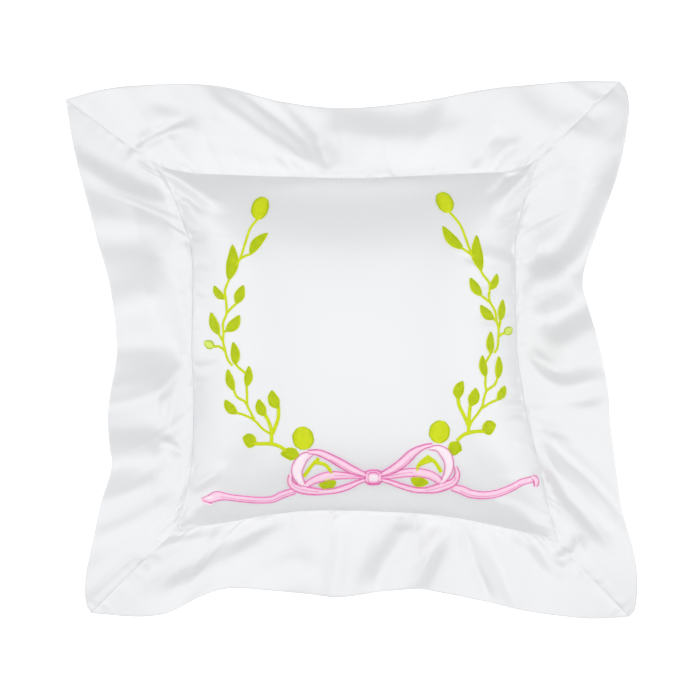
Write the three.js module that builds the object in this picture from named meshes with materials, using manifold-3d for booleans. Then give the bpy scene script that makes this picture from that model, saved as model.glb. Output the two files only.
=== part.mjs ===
// A ring bearer pillow: a stuffed insert in a white satin cover with a flat mitred flange and an
// embroidered front. Millimetres, +Z up. The pillow lies on its back with the embroidery facing up;
// the origin is on the surface it rests on, under the middle of the flange's outline, and +Y points
// to the top of the embroidered design.
import * as THREE from 'three';
import { mergeVertices } from 'three/addons/utils/BufferGeometryUtils.js';
import Module from 'manifold-3d';

// ---- driving dimensions -------------------------------------------------------------------------
const CLOTH = 0.5; // thickness of one ply of satin
const PLY_GAP = 0.15; // each flange ply keeps this far from the surface between the plies
const DITCH = 1.2; // the front panel and the flange each stop this far from the pocket seam
const MITRE_GAP = 0.35; // each strip stops this far from its mitre seam
const FRONT_RISE = 31; // crown of the front panel above the surface the pocket seam spans
const BACK_DROP = 38; // how far the back would bulge below that surface if nothing held it up
const CROWN_POWER = 3.2; // how squarely the stuffed panels roll off towards the seam
const DROOP_POWER = 1.4; // how late the flange bends down on its way out
const EDGE_LIFT = 8; // how much the flange's own stiffness holds up the middle of its outer edge
const HALF_POCKET = 113; // half the pocket's mean width
const FLANGE_WIDTH = 51; // 2 inch flange
const THREAD_RADIUS = 0.3; // the pocket's lockstitch
const OVERLAP = 0.22; // each back panel passes the middle by this share of half the pocket
const UNDERLAP_LIFT = 0.9; // the inner back panel clears the outer one by this where they overlap
const INSERT_SHARE = 0.9; // the insert's width as a share of the pocket's
const INSERT_SLACK = 3.2; // the insert is this much thinner than the pocket, on each face
const INSERT_FLOOR = 3; // the insert's underside clears the resting surface by this
const FILL_SHARE = 0.93; // the fibre's width as a share of the insert's
const FILL_SLACK = 1.5; // the fibre is this much thinner than the insert, on each face
const FILL_RIM = 0.08; // half the fibre's thickness at its rim
const STITCH_LIFT = 0.35; // embroidery clears the panel by this
const STITCH_HEIGHT = 0.9; // how thick the embroidery stands
const STITCH_GAP = 0.35; // embroidery elements keep this far from what is stitched over them
const STEM_WIDTH = 1.3; // narrow satin-stitched stems
const STALK_WIDTH = 1.9; // the heavier stalks at the foot of each spray
const LEAST_WIDTH = 0.5; // no stitching tapers below this
const STEM_PITCH = 4; // length of one segment of a stem or band
const LEAF_PITCH = 2.4; // length of one segment of a leaf

// Points are [x, y, z], going clockwise as seen from above.
const SEAM = {
  top: [[-116.5, 110, 17], [-98, 105, 20], [-69, 103, 22], [-36, 102, 23], [-0.5, 101, 24], [39, 102.5, 24],
    [78.5, 104.5, 22], [93, 105.5, 20], [109.5, 111.5, 17]],
  right: [[109.5, 111.5, 17], [104, 91, 20], [98, 67.5, 22], [97, 47, 23], [98, 0, 24], [101, -21, 24],
    [104, -39.5, 23], [113, -75, 21], [121, -113, 17]],
  bottom: [[121, -113, 17], [91, -105.5, 20], [51.5, -98, 22], [-0.5, -95, 24], [-36, -96, 23],
    [-75.5, -102.5, 21], [-103.5, -106.5, 17]],
  left: [[-103.5, -106.5, 17], [-96.5, -79.5, 21], [-94, -63.5, 22], [-93, -27, 23], [-94, 0, 24],
    [-94, 54.5, 23], [-99.5, 75.5, 21], [-107, 94.5, 19], [-116.5, 110, 17]],
};
const EDGE = {
  top: [[-170.3, 149.5, 5], [-149.5, 154.5, 7], [-125.5, 156.5, 11], [-99, 157, 14], [-72, 155, 13],
    [-42.5, 147.5, 8], [-5, 143.5, 5], [43, 147.5, 9], [77, 153.5, 12], [99.5, 156.5, 9], [133.5, 159.5, 8],
    [160.5, 160, 6]],
  right: [[160.5, 160, 6], [164.5, 153.5, 7], [165, 139.5, 10], [158.5, 107.5, 16], [147, 75, 14],
    [137.5, 45, 6], [141, 24, 9], [147, 0, 13], [152, -24, 12], [154, -46, 9], [160.5, -92.5, 8],
    [167.5, -119, 11], [170.3, -138.5, 9], [169.5, -154.5, 6], [166, -159.5, 5]],
  bottom: [[166, -159.5, 5], [157.5, -160, 6], [137.5, -159.7, 8], [105, -155, 12], [78.5, -149, 10],
    [52, -144, 7], [37.5, -142, 5], [19, -143.5, 8], [-6.5, -146.5, 11], [-30, -144.5, 8],
    [-62.5, -141.5, 10], [-76.5, -142, 12], [-89.5, -146.5, 12], [-102.5, -153.5, 9], [-113, -157.5, 8],
    [-129.5, -159, 6], [-155.5, -157.5, 4]],
  left: [[-155.5, -157.5, 4], [-158, -152, 5], [-158.5, -144, 7], [-157.5, -133, 8], [-153, -113.5, 12],
    [-148, -91, 13], [-142.5, -69.5, 8], [-143.5, -56.5, 7], [-143, -33.5, 11], [-140.5, -13.5, 12],
    [-140, 2.5, 9], [-142, 22.5, 6], [-145.5, 48.5, 8], [-152, 75.5, 13], [-160, 102, 12],
    [-166, 125.5, 8], [-169, 141.5, 6], [-170.3, 149.5, 5]],
};
const SIDES = ['top', 'right', 'bottom', 'left'];

// ---- materials ----------------------------------------------------------------------------------
const material = (colour, roughness) => new THREE.MeshStandardMaterial({ color: colour, roughness, metalness: 0 });
const satin = material(0xf6f6f4, 0.32);
const whiteThread = material(0xfafaf8, 0.5);
const greenThread = material(0xb5d317, 0.45);
const pinkThread = material(0xffb6de, 0.45);
const palePinkThread = material(0xfdeaf5, 0.45);
const muslin = material(0xf1efe8, 0.9);
const fibre = material(0xfcfcfc, 1.0);
const stabiliserPaper = material(0xf4f4f2, 0.95);

// ---- solids with manifold-3d --------------------------------------------------------------------
const wasm = await Module();
wasm.setup();

function solid(geometry) {
  const bare = new THREE.BufferGeometry();
  bare.setAttribute('position', geometry.getAttribute('position'));
  bare.setIndex(geometry.index);
  const merged = mergeVertices(bare, 1e-3);
  return new wasm.Manifold(new wasm.Mesh({
    numProp: 3,
    vertProperties: merged.getAttribute('position').array,
    triVerts: new Uint32Array(merged.index.array),
  }));
}

function geometryOf(manifold) {
  const mesh = manifold.getMesh();
  const geometry = new THREE.BufferGeometry();
  geometry.setAttribute('position', new THREE.BufferAttribute(mesh.vertProperties, 3));
  geometry.setIndex(new THREE.BufferAttribute(mesh.triVerts, 1));
  geometry.computeVertexNormals();
  return geometry;
}

// ---- surfaces -----------------------------------------------------------------------------------
const curveThrough = (points) =>
  new THREE.CatmullRomCurve3(points.map((p) => new THREE.Vector3(...p)), false, 'catmullrom', 0.5);
const seam = Object.fromEntries(SIDES.map((side) => [side, curveThrough(SEAM[side])]));
const edge = Object.fromEntries(SIDES.map((side) => [side, curveThrough(EDGE[side])]));

// The surface spanned by the pocket seam, with a and b from -1 to 1 across X and Y: a Coons patch.
function pocket(a, b) {
  const u = (a + 1) / 2;
  const v = (b + 1) / 2;
  const p = new THREE.Vector3();
  p.addScaledVector(seam.bottom.getPointAt(1 - u), 1 - v);
  p.addScaledVector(seam.top.getPointAt(u), v);
  p.addScaledVector(seam.left.getPointAt(v), 1 - u);
  p.addScaledVector(seam.right.getPointAt(1 - v), u);
  p.addScaledVector(seam.bottom.getPointAt(1), -(1 - u) * (1 - v));
  p.addScaledVector(seam.bottom.getPointAt(0), -u * (1 - v));
  p.addScaledVector(seam.top.getPointAt(0), -(1 - u) * v);
  p.addScaledVector(seam.top.getPointAt(1), -u * v);
  return p;
}

const crown = (a, b) => (1 - Math.abs(a) ** CROWN_POWER) * (1 - Math.abs(b) ** CROWN_POWER);

// The front panel's outer face, or a parallel face that lies depth below it.
function front(a, b, depth = 0) {
  const p = pocket(a, b);
  p.z += PLY_GAP + CLOTH + FRONT_RISE * crown(a, b) - depth;
  return p;
}

// The back's outer face, flattened by the surface it rests on, or a face that lies height above it.
function back(a, b, height = 0) {
  const p = pocket(a, b);
  p.z = Math.max(0, p.z - PLY_GAP - CLOTH - BACK_DROP * crown(a, b)) + height;
  return p;
}

// The surface between the flange's two plies: along runs round the pocket and out runs outwards, 0 to 1.
function flange(side, along, out) {
  const inner = seam[side].getPointAt(along);
  const outer = edge[side].getPointAt(along);
  const p = inner.clone().lerp(outer, out);
  const edgeHeight = outer.z + EDGE_LIFT * (1 - (2 * along - 1) ** 4);
  p.z = inner.z + (edgeHeight - inner.z) * out ** DROOP_POWER;
  return p;
}

// Height of the front panel over a point of the plan. Newton steps find the point's a and b.
function panelHeight(x, y) {
  const STEP = 1e-3;
  let a = x / HALF_POCKET;
  let b = y / HALF_POCKET;
  for (let i = 0; i < 6; i++) {
    const p = pocket(a, b);
    const along = pocket(a + STEP, b).sub(p).divideScalar(STEP);
    const across = pocket(a, b + STEP).sub(p).divideScalar(STEP);
    const det = along.x * across.y - across.x * along.y;
    a += ((x - p.x) * across.y - (y - p.y) * across.x) / det;
    b += ((y - p.y) * along.x - (x - p.x) * along.y) / det;
  }
  return front(a, b).z;
}

// A closed sheet: a box whose two large faces are carried onto surfaces by place(a, b, isTop). The
// diagonals of the underside are turned to match those above, so that stacked sheets nest.
function sheet(columns, rows, place) {
  const geometry = new THREE.BoxGeometry(2, 2, 2, columns, rows, 1);
  const index = geometry.index;
  const underside = geometry.groups[5];
  for (let i = underside.start; i < underside.start + underside.count; i += 6) {
    const [a, b, c, d] = [index.getX(i), index.getX(i + 1), index.getX(i + 4), index.getX(i + 2)];
    [a, b, c, a, c, d].forEach((corner, k) => index.setX(i + k, corner));
  }
  const position = geometry.getAttribute('position');
  for (let i = 0; i < position.count; i++) {
    const p = place(position.getX(i), position.getY(i), position.getZ(i) > 0);
    position.setXYZ(i, p.x, p.y, p.z);
  }
  geometry.computeVertexNormals();
  return geometry;
}

// ---- the group ----------------------------------------------------------------------------------
const pillow = new THREE.Group();

function add(name, geometry, finish) {
  const mesh = new THREE.Mesh(geometry, finish);
  mesh.name = name;
  pillow.add(mesh);
}

// ---- cover --------------------------------------------------------------------------------------
function addFrontPanel() {
  const share = 1 - DITCH / HALF_POCKET;
  add('front_panel', sheet(16, 16, (a, b, isTop) => front(a * share, b * share, isTop ? 0 : CLOTH)), satin);
}

// Two hemmed panels that overlap across the middle: the upper one lies outside the lower one.
function addBackPanels() {
  const STEP_START = 0.2;
  const STEP_END = 0.05;
  const share = 1 - DITCH / HALF_POCKET;
  const between = (low, high, b) => low + (high - low) * (b + 1) / 2;
  add('back_panel_upper', sheet(14, 9, (a, b, isTop) =>
    back(a * share, between(-OVERLAP, share, b), isTop ? CLOTH : 0)), satin);
  add('back_panel_lower', sheet(14, 10, (a, b, isTop) => {
    const at = between(-share, OVERLAP, b);
    const lift = UNDERLAP_LIFT * THREE.MathUtils.smoothstep(at, -OVERLAP - STEP_START, -OVERLAP - STEP_END);
    return back(a * share, at, lift + (isTop ? CLOTH : 0));
  }), satin);
}

// Each side's flange is two strips of satin, face to face, mitred where it meets its neighbours.
function addFlange(side) {
  const COLUMNS = 14;
  const ROWS = 3;
  const inner = DITCH / FLANGE_WIDTH;
  const mitre = MITRE_GAP / (2 * HALF_POCKET);
  const place = (low, high) => (a, b, isTop) => {
    const along = mitre + (1 - 2 * mitre) * (a + 1) / 2;
    const p = flange(side, along, inner + (1 - inner) * (b + 1) / 2);
    p.z += isTop ? high : low;
    return p;
  };
  add(`front_flange_${side}`, sheet(COLUMNS, ROWS, place(PLY_GAP, PLY_GAP + CLOTH)), satin);
  add(`back_flange_${side}`, sheet(COLUMNS, ROWS, place(-PLY_GAP - CLOTH, -PLY_GAP)), satin);
}

// The lockstitch that closes one side of the pocket, lying in the ditch between panel and flange.
function addPocketStitching(side) {
  const SHORT = 0.012; // share of the seam left bare at each end
  const COUNT = 12;
  const points = [];
  for (let i = 0; i <= COUNT; i++) points.push(seam[side].getPointAt(SHORT + (1 - 2 * SHORT) * i / COUNT));
  const section = new THREE.Shape().absarc(0, 0, THREAD_RADIUS, 0, 2 * Math.PI);
  add(`pocket_stitching_${side}`, new THREE.ExtrudeGeometry(section, {
    steps: 16,
    curveSegments: 6,
    bevelEnabled: false,
    extrudePath: new THREE.CatmullRomCurve3(points),
  }), whiteThread);
}

// ---- insert -------------------------------------------------------------------------------------
// The upper or lower face of something that lies inside the pocket and is share of its width. The rim
// is at offset from the pocket's seam surface, and the face bulges from there by height.
const insideUpper = (a, b, share, height, offset) => {
  const p = pocket(a * share, b * share);
  p.z += offset + height * crown(a, b);
  return p;
};
const insideLower = (a, b, share, height, offset, floor) => {
  const p = pocket(a * share, b * share);
  p.z = Math.max(floor, p.z - offset - height * crown(a, b));
  return p;
};

// A muslin cushion: two covers and the fibre between them.
function addInsert() {
  const COLUMNS = 14;
  const rise = FRONT_RISE - INSERT_SLACK;
  const drop = BACK_DROP - INSERT_SLACK;
  const skin = PLY_GAP + CLOTH;
  add('insert_cover_top', sheet(COLUMNS, COLUMNS, (a, b, isTop) =>
    insideUpper(a, b, INSERT_SHARE, rise, isTop ? skin : PLY_GAP)), muslin);
  add('insert_cover_bottom', sheet(COLUMNS, COLUMNS, (a, b, isTop) => (isTop
    ? insideLower(a, b, INSERT_SHARE, drop, PLY_GAP, INSERT_FLOOR + CLOTH)
    : insideLower(a, b, INSERT_SHARE, drop, skin, INSERT_FLOOR))), muslin);
  const fillShare = INSERT_SHARE * FILL_SHARE;
  const fillFloor = INSERT_FLOOR + 2 * CLOTH;
  add('insert_fill', sheet(COLUMNS, COLUMNS, (a, b, isTop) => (isTop
    ? insideUpper(a, b, fillShare, rise - FILL_SLACK, FILL_RIM)
    : insideLower(a, b, fillShare, drop - FILL_SLACK, FILL_RIM, fillFloor))), fibre);
}

// ---- embroidery ---------------------------------------------------------------------------------
// A row of satin stitch along a line of plan points, as wide as widths say from its start to its end,
// and wider by grow all round.
function stroke({ points, widths, pitch }, grow = 0, low = STITCH_LIFT, high = STITCH_LIFT + STITCH_HEIGHT) {
  const path = new THREE.SplineCurve(points.map((p) => new THREE.Vector2(...p)));
  const wide = new THREE.SplineCurve(widths.map((w, i) => new THREE.Vector2(i, w)));
  const columns = Math.max(2, Math.ceil(path.getLength() / pitch));
  return sheet(columns, 1, (a, b, isTop) => {
    const s = (a + 1) / 2;
    const middle = path.getPointAt(s);
    const along = path.getTangentAt(s);
    const half = Math.max(LEAST_WIDTH, wide.getPoint(s).y) / 2 + grow;
    const x = middle.x - along.y * b * half + along.x * a * grow;
    const y = middle.y + along.x * b * half + along.y * a * grow;
    return new THREE.Vector3(x, y, panelHeight(x, y) + (isTop ? high : low));
  });
}

const band = (widths, ...points) => ({ points, widths, pitch: STEM_PITCH });
const stem = (...points) => band([STEM_WIDTH, STEM_WIDTH], ...points);
const stalk = (...points) => band([STALK_WIDTH, STALK_WIDTH], ...points);

// A leaf from its base to its tip; bend pushes its middle sideways, as a share of its length.
const LEAF_PROFILE = [0.16, 0.72, 1, 0.9, 0.55, 0.08];
const ROUND_PROFILE = [0.3, 0.86, 1, 1, 0.84, 0.3];
function leaf(base, tip, width, bend = 0, profile = LEAF_PROFILE) {
  const middle = [
    (base[0] + tip[0]) / 2 - (tip[1] - base[1]) * bend,
    (base[1] + tip[1]) / 2 + (tip[0] - base[0]) * bend,
  ];
  return { points: [base, middle, tip], widths: profile.map((w) => w * width), pitch: LEAF_PITCH };
}
const roundLeaf = (base, tip, width, bend = 0) => leaf(base, tip, width, bend, ROUND_PROFILE);

// Each element is one connected run of stitching. Later ones are stitched over earlier ones.
const WREATH = {
  wreath_left_upper: [
    stem([-54, 76.5], [-58.6, 70.5], [-61, 63.5], [-64.4, 53], [-68.8, 46], [-70.5, 42], [-73.4, 34.5], [-72.8, 28.7],
      [-72.5, 21], [-74.6, 15.4], [-74.3, 9.6], [-74.6, 5], [-73.7, 1], [-72.5, -3.8], [-70.8, -7.3], [-68.8, -9.4]),
    stem([-64.4, 52.7], [-61.2, 54.4], [-57.6, 55.6]),
    stem([-72.5, 21], [-69.6, 24.1], [-66, 27.2]),
    stem([-74.6, 4.6], [-77.5, 9.6]),
    stem([-73.8, 10], [-72, 11.4]),
    stem([-73.5, -0.8], [-76.8, 1.6], [-81.2, 1.8]),
    roundLeaf([-54.4, 75.6], [-50.2, 89], 8.4, 0.06),
    leaf([-58.6, 55.2], [-48.2, 67.6], 5, 0.08),
    leaf([-71.2, 40.4], [-69, 61.2], 6.2, -0.06),
    leaf([-73.3, 29.4], [-80, 37.4], 3.8, 0.12),
    leaf([-66.6, 26.5], [-62.4, 37.4], 5.2),
    leaf([-76.8, 8.6], [-81.8, 21.8], 4.7, 0.06),
    leaf([-72.8, 10.8], [-64.7, 20], 5.5, -0.1),
    leaf([-80, 1.4], [-86.2, 4.6], 4.4),
  ],
  wreath_left_lower: [
    stem([-61, -13.8], [-65, -10.7], [-67.6, -8]),
    stem([-60.4, -31], [-60.4, -25.8], [-60.6, -20.8]),
    stem([-59.8, -32.8], [-62.1, -29.9], [-66.2, -27.6], [-68.4, -23.1]),
    stem([-60.4, -30.8], [-59.8, -33.5], [-56, -40.6]),
    stem([-46.6, -48.9], [-51.1, -46.1], [-56.3, -40.9], [-62.1, -38], [-67, -36.7]),
    stalk([-46.1, -55], [-46.2, -47], [-47.6, -42.1], [-50.2, -37]),
    stalk([-45.6, -49], [-43.5, -43.8], [-42.1, -39.2], [-41.9, -33]),
    stalk([-57.6, -54.2], [-55, -54.7], [-47, -54.7], [-41.8, -56], [-37.4, -58.8]),
    leaf([-67.2, -8.9], [-68.5, 4.4], 4.7, -0.05),
    leaf([-60.6, -21.6], [-59.2, -9.4], 4.2, -0.05),
    leaf([-68.1, -24], [-71.7, -11.3], 4.2, 0.05),
    leaf([-66.2, -37.2], [-73.4, -29.2], 5, 0.1),
    leaf([-49.8, -38.6], [-53.4, -28.6], 5.3, 0.08),
    leaf([-41.9, -34], [-45.8, -23.4], 5.9, 0.1),
    roundLeaf([-55.4, -54.9], [-58.8, -48.8], 7, 0.28),
  ],
  wreath_left_broad_leaf: [roundLeaf([-26.3, -58], [-29.2, -44.6], 11.2)],
  wreath_left_side_leaf: [leaf([-30, -62], [-41, -60.4], 6.6, -0.08)],
  wreath_left_loop_stems: [
    stalk([-22, -64.1], [-18.6, -65], [-14, -66.8]),
    stalk([-17, -63.4], [-13.9, -66.4], [-11.6, -70.2]),
    stalk([-20.5, -65], [-23.8, -68.8], [-26.4, -72.6]),
  ],
  wreath_left_loop_leaf: [leaf([-8.9, -77.4], [-18.2, -79], 4.6, 0.06)],
  wreath_right_upper: [
    stem([57.5, 80], [62.1, 74.6], [65, 69.4], [69.1, 57.7], [69.8, 55.2], [73.1, 51.9], [74.9, 47.3], [77.2, 43.2],
      [80.4, 39.2], [81, 35.1], [80.4, 31], [81.2, 27.6], [84.2, 22.3], [85, 17.7], [86.2, 12.5], [86.2, 6.7],
      [85.6, 1.5], [83.6, -2.2]),
    stem([69.8, 55.4], [64, 59.2]),
    stem([81.2, 27.4], [75, 32]),
    stem([86.3, 11.6], [87.3, 15.4], [87.6, 18]),
    stem([85.4, 16.3], [82.6, 18.4]),
    stem([86.2, 7.3], [88.2, 9], [91, 9.9]),
    roundLeaf([57.2, 79.8], [51.2, 91.6], 8.1, -0.05),
    leaf([64.9, 58.5], [53.1, 71.8], 5.3, 0.08),
    leaf([75.8, 45.8], [73.1, 66.8], 5.8, 0.06),
    leaf([80.9, 35], [85.3, 44.4], 3.6, -0.1),
    leaf([75.8, 31.3], [69.1, 41.8], 4.7, 0.05),
    leaf([87.5, 16.8], [88.9, 29.4], 3.7),
    leaf([83.4, 17.6], [75.2, 25.9], 4.9, 0.08),
    leaf([90, 9], [94.7, 13], 4.1),
  ],
  wreath_right_lower: [
    stem([78.5, -7.5], [80.1, -4.6], [82, -1.4]),
    stem([78.9, -24.1], [78.1, -20.6], [78.3, -15]),
    stem([68.2, -45.8], [70.2, -41.5], [73.4, -37.4], [76.3, -32.8], [77.2, -28.7], [78.9, -24.1], [83.6, -20.6],
      [85.7, -16.2]),
    stem([76, -34.2], [81.2, -31], [86.2, -29]),
    stalk([68.1, -48.6], [68.5, -38], [69.2, -32]),
    stalk([68.2, -44.5], [65.6, -38.6], [62.7, -32.8], [61.8, -27.9]),
    stalk([78.9, -47.6], [72.5, -47.6], [65.6, -49.3], [61.3, -53]),
    leaf([81.6, -2.8], [81.5, 10.7], 3.9, 0.04),
    leaf([78.3, -16], [76.3, -3.2], 4, 0.05),
    leaf([85.5, -17.1], [86.2, -3.8], 3.7, -0.04),
    leaf([85.4, -29.5], [89.9, -21.1], 4.2, -0.06),
    leaf([69, -32.8], [72.4, -22.2], 5.8, -0.06),
    leaf([61.8, -28.7], [64.8, -18.2], 5.5, 0.1),
    roundLeaf([76.6, -47.4], [80.2, -41.2], 7, -0.28),
  ],
  wreath_right_broad_leaf: [roundLeaf([50, -54.2], [52.3, -41], 11)],
  wreath_right_side_leaf: [leaf([62.6, -53.6], [59.4, -61.6], 7.4, -0.1)],
  wreath_right_loop_stems: [
    stalk([41.6, -60.2], [39.1, -64.5], [37.6, -68]),
    stalk([39.2, -64.2], [43.5, -62.7], [47.4, -61.4]),
    stalk([46.2, -61.8], [49.3, -66.2], [52, -69.6]),
  ],
  wreath_right_loop_leaf: [leaf([35.2, -75.6], [44.6, -77.6], 4.6, -0.05)],
};
const BOW = {
  bow_left_tail: [band([3.5, 3.8, 3.5, 3.5, 3.5, 4.1, 4.6, 3.4], [-32.6, -82.4], [-40.4, -85.1], [-46.7, -87.9],
    [-56, -88.2], [-68.5, -87], [-78, -85.7], [-83.5, -87], [-88.3, -87.6])],
  bow_right_tail: [band([3.5, 4.7, 4.4, 4.1, 4.1, 3.8, 3.5, 4.6], [58.6, -80.4], [64.5, -82], [70.5, -84.5],
    [78.6, -85.3], [86.7, -84], [94.9, -80.7], [100.3, -77.9], [107, -76.9])],
  bow_left_middle_band: [band([3.5, 4.4, 4.7, 4.1, 2.4, 1.6], [-24.6, -77.6], [-20.4, -75.3], [-13.4, -73.5],
    [-5.3, -73.2], [2.3, -73.7], [8, -74.1])],
  bow_right_middle_band: [band([1.6, 3.5, 4.7, 4.7, 4.7, 3.8], [18, -74.2], [25.1, -72.9], [32.1, -71.6],
    [40.3, -71.6], [47.3, -73.5], [51.6, -76.8])],
  bow_left_lower_band: [band([1.8, 3.5, 4.7, 4.1, 2.9, 2.9, 3.2, 2.3, 1.5], [-35, -72.6], [-35.6, -76.7],
    [-32.7, -80.2], [-26.8, -82], [-18.1, -83], [-8.8, -82.1], [-1.2, -79.6], [4.6, -76.9], [8.2, -75.6])],
  bow_right_lower_band: [band([1.5, 3.5, 4.7, 4.7, 2.9, 2.9, 2.6, 2.3, 1.5], [60.7, -68], [61.8, -72.6],
    [59.8, -77], [54.3, -79.6], [46.7, -81.7], [38.5, -81.9], [29.8, -79.6], [23.3, -77.2], [18, -75.8])],
  bow_left_turn: [band([1.6, 5, 6.4, 6.4, 3.5], [-22.2, -60.1], [-27.4, -62.7], [-30.6, -67.4], [-31.5, -71.5],
    [-29.6, -75.8])],
  bow_right_turn: [band([1.6, 3.5, 5.8, 5.5, 4.7, 2], [45, -57.2], [50.2, -57.2], [54.8, -60.7], [57, -66.2],
    [56.3, -71.5], [53.6, -75.4])],
  bow_left_upper_band: [band([1.8, 3.5, 4.1, 4.7, 4.1, 2], [-25.1, -59.2], [-19.3, -59.5], [-13.4, -61.8],
    [-6.4, -65.6], [0.6, -69.7], [8, -72.8])],
  bow_right_upper_band: [band([2, 4.1, 5, 5, 2.9, 1.5], [18, -72.4], [23.9, -69.7], [30.3, -65.1], [36.2, -59.5],
    [42, -56.3], [47.3, -55])],
  bow_knot: [band([5.6, 7.4, 7.6, 7.4, 5.6], [9, -74.2], [13, -74.2], [17, -74.2])],
};
const pale = ['bow_left_turn', 'bow_right_turn', 'bow_knot'];

// Every element gives way to those stitched after it: they are cut out of it with a small gap round them.
function addEmbroidery() {
  const BELOW = -2;
  const ABOVE = 4;
  const elements = Object.entries({ ...WREATH, ...BOW }).map(([name, runs]) => ({
    name,
    body: runs.map((run) => solid(stroke(run))).reduce((whole, run) => whole.add(run)),
    cutters: runs.map((run) => solid(stroke({ ...run, pitch: STEM_PITCH }, STITCH_GAP, BELOW, ABOVE))),
  }));
  elements.forEach(({ name, body }, i) => {
    const cutters = elements.slice(i + 1).flatMap((above) => above.cutters);
    const box = body.boundingBox();
    const near = cutters.filter((cutter) => {
      const other = cutter.boundingBox();
      return [0, 1, 2].every((k) => box.min[k] < other.max[k] && other.min[k] < box.max[k]);
    });
    const trimmed = near.reduce((left, cutter) => left.subtract(cutter), body);
    const pink = pale.includes(name) ? palePinkThread : pinkThread;
    add(name, geometryOf(trimmed), name in BOW ? pink : greenThread);
  });
}

// The backing hooped behind the embroidery, trimmed to the design with round corners.
function addStabiliser() {
  const LOW = new THREE.Vector2(-0.86, -0.86);
  const HIGH = new THREE.Vector2(0.9, 0.86);
  const TOP_DEPTH = 1.9;
  const SHEET = 0.3;
  const ROUNDING = 0.06;
  add('embroidery_stabiliser', sheet(12, 12, (a, b, isTop) => {
    const pull = 1 - ROUNDING * Math.abs(a * b) ** 6;
    const s = THREE.MathUtils.lerp(LOW.x, HIGH.x, (a * pull + 1) / 2);
    const t = THREE.MathUtils.lerp(LOW.y, HIGH.y, (b * pull + 1) / 2);
    return front(s, t, isTop ? TOP_DEPTH : TOP_DEPTH + SHEET);
  }), stabiliserPaper);
}

addFrontPanel();
addBackPanels();
SIDES.forEach(addFlange);
SIDES.forEach(addPocketStitching);
addInsert();
addStabiliser();
addEmbroidery();

// Put the origin on the resting surface, under the middle of the outline.
const outline = new THREE.Box3().setFromObject(pillow);
const middle = outline.getCenter(new THREE.Vector3());
for (const mesh of pillow.children) mesh.geometry.translate(-middle.x, -middle.y, -outline.min.z);

export default pillow;
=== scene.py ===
# A ring bearer pillow: white satin cover with a wavy mitred flange, an embroidered front, an envelope
# back and a muslin insert. Lengths below are in millimetres in the CAD's own frame, and mesh() turns
# them into metres. Materials and lights are in metres. The outlines repeat the points of part.mjs.
import math

import bpy
import numpy as np
from mathutils.bvhtree import BVHTree
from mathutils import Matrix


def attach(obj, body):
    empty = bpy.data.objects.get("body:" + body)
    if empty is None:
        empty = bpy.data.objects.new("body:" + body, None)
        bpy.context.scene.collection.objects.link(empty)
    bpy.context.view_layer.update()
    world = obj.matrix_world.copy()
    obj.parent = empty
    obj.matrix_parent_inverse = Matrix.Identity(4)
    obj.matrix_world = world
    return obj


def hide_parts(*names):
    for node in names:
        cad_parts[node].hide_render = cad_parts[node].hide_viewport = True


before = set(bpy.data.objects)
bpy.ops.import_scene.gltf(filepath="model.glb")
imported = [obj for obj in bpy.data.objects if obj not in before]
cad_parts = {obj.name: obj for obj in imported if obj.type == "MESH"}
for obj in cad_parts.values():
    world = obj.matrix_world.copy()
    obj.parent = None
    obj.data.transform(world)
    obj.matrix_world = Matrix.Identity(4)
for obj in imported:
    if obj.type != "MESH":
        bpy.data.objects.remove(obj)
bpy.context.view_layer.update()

MM = 0.001
scene = bpy.context.scene

# ---- camera: straight above the pillow, level with its edges
camera = bpy.data.objects.new("camera", bpy.data.cameras.new("camera"))
camera.data.lens = 135
camera.data.sensor_width = 36
camera.location = (-1.5 * MM, 0.6 * MM, 1567 * MM)
scene.collection.objects.link(camera)
scene.camera = camera

# ---- the pillow's driving dimensions, as in part.mjs
SEAM = {
    "top": [(-116.5, 110, 17), (-98, 105, 20), (-69, 103, 22), (-36, 102, 23), (-0.5, 101, 24),
        (39, 102.5, 24), (78.5, 104.5, 22), (93, 105.5, 20), (109.5, 111.5, 17)],
    "right": [(109.5, 111.5, 17), (104, 91, 20), (98, 67.5, 22), (97, 47, 23), (98, 0, 24), (101, -21, 24),
        (104, -39.5, 23), (113, -75, 21), (121, -113, 17)],
    "bottom": [(121, -113, 17), (91, -105.5, 20), (51.5, -98, 22), (-0.5, -95, 24), (-36, -96, 23),
        (-75.5, -102.5, 21), (-103.5, -106.5, 17)],
    "left": [(-103.5, -106.5, 17), (-96.5, -79.5, 21), (-94, -63.5, 22), (-93, -27, 23), (-94, 0, 24),
        (-94, 54.5, 23), (-99.5, 75.5, 21), (-107, 94.5, 19), (-116.5, 110, 17)],
}
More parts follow.
